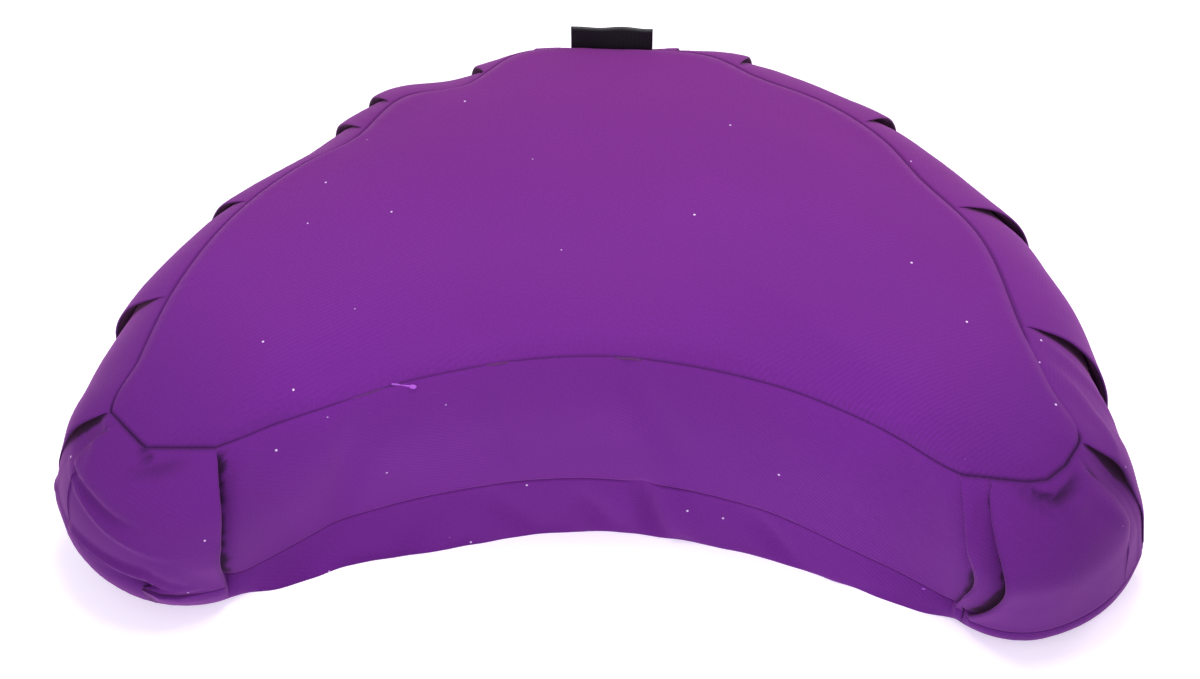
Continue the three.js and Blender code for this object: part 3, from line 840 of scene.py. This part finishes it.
def satinTape():
    # woven satin: smooth long yarns that gleam in a band along the weft
    material, tree = newMaterial("black polyester satin tape, woven")
    place = addNode(tree, "ShaderNodeUVMap", uv_map="tape").outputs["UV"]
    weave = addNode(tree, "ShaderNodeTexWave", {
        "Vector": place, "Scale": waveScale(label["weftApart"]), "Distortion": 0.6, "Detail": 1.0
    }, wave_type="BANDS", bands_direction="Y").outputs["Fac"]
    ends = addNode(tree, "ShaderNodeTexWave", {
        "Vector": place, "Scale": waveScale(label["warpApart"]), "Distortion": 0.4
    }, wave_type="BANDS", bands_direction="X").outputs["Fac"]
    crossed = addNode(tree, "ShaderNodeMath", {0: weave, 1: ends}, operation="MULTIPLY").outputs[0]
    tone = addNode(tree, "ShaderNodeValToRGB", {"Fac": crossed})
    tone.color_ramp.elements[0].color = linear(label["dark"])
    tone.color_ramp.elements[1].color = linear(label["bright"])
    bump = addNode(tree, "ShaderNodeBump", {
        "Height": crossed, "Strength": 1.0, "Distance": label["weaveHigh"] * mm
    })
    shader = addNode(tree, "ShaderNodeBsdfPrincipled", {
        "Base Color": tone.outputs["Color"], "Roughness": 0.42, "Specular IOR Level": 0.45,
        "Normal": bump.outputs["Normal"],
    })
    addNode(tree, "ShaderNodeOutputMaterial", {"Surface": shader.outputs["BSDF"]})
    return material


def makeLabel(material):
    low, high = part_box("label")
    middle, foot = (low[0] + high[0]) / 2 / mm, low[2] / mm - label["foot"]
    centreY = (low[1] + high[1]) / 2 / mm
    tall = label["height"] + label["foot"] - label["foldRadius"]
    half = tall + label["foldRadius"] * math.pi / 2
    bm = bmesh.new()
    bmesh.ops.create_grid(bm, x_segments=36, y_segments=28, size=1)
    tapeLayer = bm.loops.layers.uv.new("tape")
    for face in bm.faces:
        for loop in face.loops:
            across, run = loop.vert.co.x * label["width"] / 2, loop.vert.co.y * half
            loop[tapeLayer].uv = (across * mm, run * mm)
    lean = math.radians(label["lean"])
    for vert in bm.verts:
        across, run = vert.co.x * label["width"] / 2, vert.co.y * half
        side = math.copysign(1, run) if run else 1
        fromFold = abs(run)
        turn = min(fromFold / label["foldRadius"], math.pi / 2)
        straight = max(0, fromFold - label["foldRadius"] * math.pi / 2)
        apart = side * label["foldRadius"] * math.sin(turn)
        apart *= 1 - label["closes"] * min(1, straight / tall)
        rise = tall - straight + label["foldRadius"] * math.cos(turn)
        ripple = label["wave"] * math.sin(across * label["waveTurn"] + label["waveStart"])
        ripple = ripple * rise / tall
        bow = label["bow"] * math.sin(across * label["bowTurn"]) * rise / tall
        depth = centreY + apart + ripple + (rise - tall / 2) * math.sin(lean)
        vert.co = Vector((middle + across, depth, foot + rise * math.cos(lean) + bow)) * mm
    bmesh.ops.recalc_face_normals(bm, faces=bm.faces)
    piece = newPiece("label_tape", bm, material)
    wall = piece.modifiers.new("Solidify", "SOLIDIFY")
    wall.thickness, wall.offset = label["thick"] * mm, 0
    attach(piece, "root")
    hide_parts("label")
    print("label made, flat size in mm", label["width"], "by", round(2 * half, 1))


makeLabel(satinTape())

# a loose end of sewing thread by the front seam: a knot with a short tail, and a stitch's end
thread = dict(
    knot=(-75.5, -85.5, 95.5), knotRadius=1.1, knotShape=(1.5, 1, 0.8),
    tail=[(-8.5, 0, 1.2), (-5, 0.3, 0.6), (-2, 0.2, 0.2), (0, 0, 0)], tailRadius=0.45,
    stitch=(138, -112.5, 11), stitchLong=3.2, stitchRadius=0.55,
    twistApart=0.4, twistHigh=0.05, colour="#a552c9",
)


def sewingThread():
    # spun polyester: brighter than the cloth, with a slight gleam from its twist
    material, tree = newMaterial("violet polyester thread, spun")
    place = addNode(tree, "ShaderNodeTexCoord").outputs["Object"]
    twist = addNode(tree, "ShaderNodeTexWave", {
        "Vector": place, "Scale": waveScale(thread["twistApart"]), "Distortion": 1.0
    }, wave_type="BANDS", bands_direction="DIAGONAL").outputs["Fac"]
    bump = addNode(tree, "ShaderNodeBump", {
        "Height": twist, "Strength": 1.0, "Distance": thread["twistHigh"] * mm
    })
    shader = addNode(tree, "ShaderNodeBsdfPrincipled", {
        "Base Color": linear(thread["colour"]), "Roughness": 0.6, "Specular IOR Level": 0.3,
        "Normal": bump.outputs["Normal"],
    })
    addNode(tree, "ShaderNodeOutputMaterial", {"Surface": shader.outputs["BSDF"]})
    return material


def makeThread(material):
    bm = bmesh.new()
    knotX, knotY, knotZ = thread["knot"]
    long, thick, route = -thread["tail"][0][0], thread["tailRadius"], np.array(thread["tail"])
    bmesh.ops.create_cone(bm, cap_ends=True, segments=8, radius1=thick, radius2=thick, depth=long)
    sides = [e for e in bm.edges if abs(e.verts[0].co.z - e.verts[1].co.z) > long / 2]
    bmesh.ops.subdivide_edges(bm, edges=sides, cuts=8, use_grid_fill=True)
    for vert in bm.verts:
        run = vert.co.z - long / 2
        y, z = np.interp(run, route[:, 0], route[:, 1]), np.interp(run, route[:, 0], route[:, 2])
        vert.co = Vector((knotX + run, knotY + y + vert.co.x, knotZ + z + vert.co.y))
    knot = bmesh.ops.create_icosphere(bm, subdivisions=2, radius=thread["knotRadius"])["verts"]
    bmesh.ops.scale(bm, vec=thread["knotShape"], verts=knot)
    bmesh.ops.translate(bm, vec=thread["knot"], verts=knot)
    bead = bmesh.ops.create_uvsphere(bm, u_segments=10, v_segments=8, radius=thread["stitchRadius"])
    stitch = bead["verts"]
    longer = thread["stitchLong"] / (2 * thread["stitchRadius"])
    bmesh.ops.scale(bm, vec=(longer, 1, 1), verts=stitch)
    bmesh.ops.translate(bm, vec=thread["stitch"], verts=stitch)
    bmesh.ops.scale(bm, vec=(mm, mm, mm), verts=bm.verts)
    bmesh.ops.recalc_face_normals(bm, faces=bm.faces)
    piece = newPiece("thread_end", bm, material)
    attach(piece, "root")
    print("thread made")


makeThread(sewingThread())

# camera at the photo's angle: just right of the middle, and 45 degrees up
view = dict(azimuth=2.4, elevation=45, distance=1.1, target=(-0.00038, -0.0643, 0.1045), lens=80.85)
azimuth, elevation = math.radians(view["azimuth"]), math.radians(view["elevation"])
back = Vector((
    math.sin(azimuth) * math.cos(elevation),
    -math.cos(azimuth) * math.cos(elevation),
    math.sin(elevation),
))
camera = bpy.data.objects.new("camera", bpy.data.cameras.new("camera"))
camera.data.lens = view["lens"]
camera.data.sensor_width = 36
camera.location = Vector(view["target"]) + back * view["distance"]
camera.rotation_euler = (-back).to_track_quat("-Z", "Y").to_euler()
bpy.context.scene.collection.objects.link(camera)
bpy.context.scene.camera = camera

floorMaterial, floorTree = newMaterial("white paper sweep")
floorShader = addNode(floorTree, "ShaderNodeBsdfPrincipled", {
    "Base Color": linear("#f4effb"), "Roughness": 0.9,
    "Emission Color": linear("#fbf4ff"), "Emission Strength": 0.42,
})
addNode(floorTree, "ShaderNodeOutputMaterial", {"Surface": floorShader.outputs["BSDF"]})
floorShape = bmesh.new()
bmesh.ops.create_grid(floorShape, x_segments=1, y_segments=1, size=6)
floor = newPiece("floor", floorShape, floorMaterial)


def addLight(name, place, size, power, colour="#ffffff", aim=(0, 0, 0.05)):
    lamp = bpy.data.lights.new(name, "AREA")
    lamp.shape, lamp.size, lamp.energy = "DISK", size, power
    lamp.color = linear(colour)[:3]
    light = bpy.data.objects.new(name, lamp)
    light.location = place
    light.rotation_euler = (Vector(aim) - Vector(place)).to_track_quat("-Z", "Y").to_euler()
    bpy.context.scene.collection.objects.link(light)


addLight("overhead softbox", (0, 0, 0.9), 0.4, 4.7)
addLight("rim light", (0.85, 0.5, 0.5), 0.4, 2.6, "#ffe8f6")
addLight("front fill", (-0.2, -0.76, 0.55), 0.3, 2)
world = bpy.data.worlds.new("studio")
world.use_nodes = True
world.node_tree.nodes["Background"].inputs["Color"].default_value = linear("#ffffff")
world.node_tree.nodes["Background"].inputs["Strength"].default_value = 0.58
bpy.context.scene.world = world
bpy.context.scene.view_settings.view_transform = "Standard"
